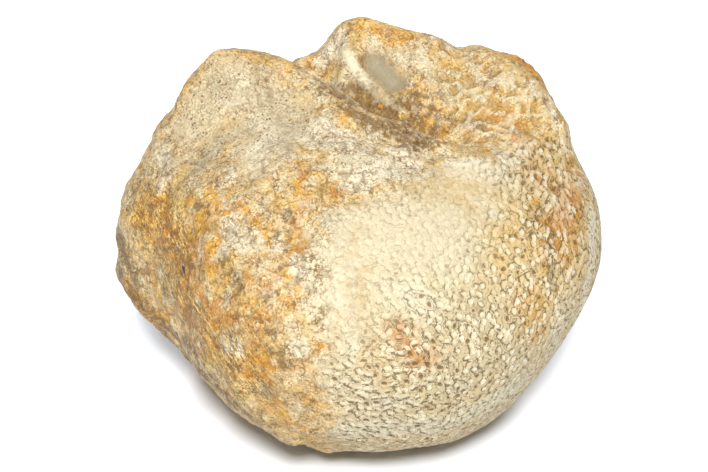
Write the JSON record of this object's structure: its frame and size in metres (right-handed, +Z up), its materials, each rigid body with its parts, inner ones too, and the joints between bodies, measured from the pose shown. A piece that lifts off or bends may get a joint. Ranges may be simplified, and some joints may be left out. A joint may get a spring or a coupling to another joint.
{
  "type": "fossil vertebra",
  "caption": "Worn fossil backbone centrum with a pitted dome at one end, a cup at the other and broken neural arch stubs on top.",
  "frame": {"origin": "middle of the bounding box in X and Y, on the worn flat patch the bone rests on", "axes": "+X out of the domed end (the condyle), +Y the animal's right side, +Z up through the broken neural arch stubs"},
  "size_m": [0.051, 0.053, 0.044],
  "materials": {
    "fossil_bone": "dry and matt, with a slight glint on the pitted end"
  },
  "bodies": {
    "root": {"vertebra": "fossil_bone"}
  },
  "joints": []
}
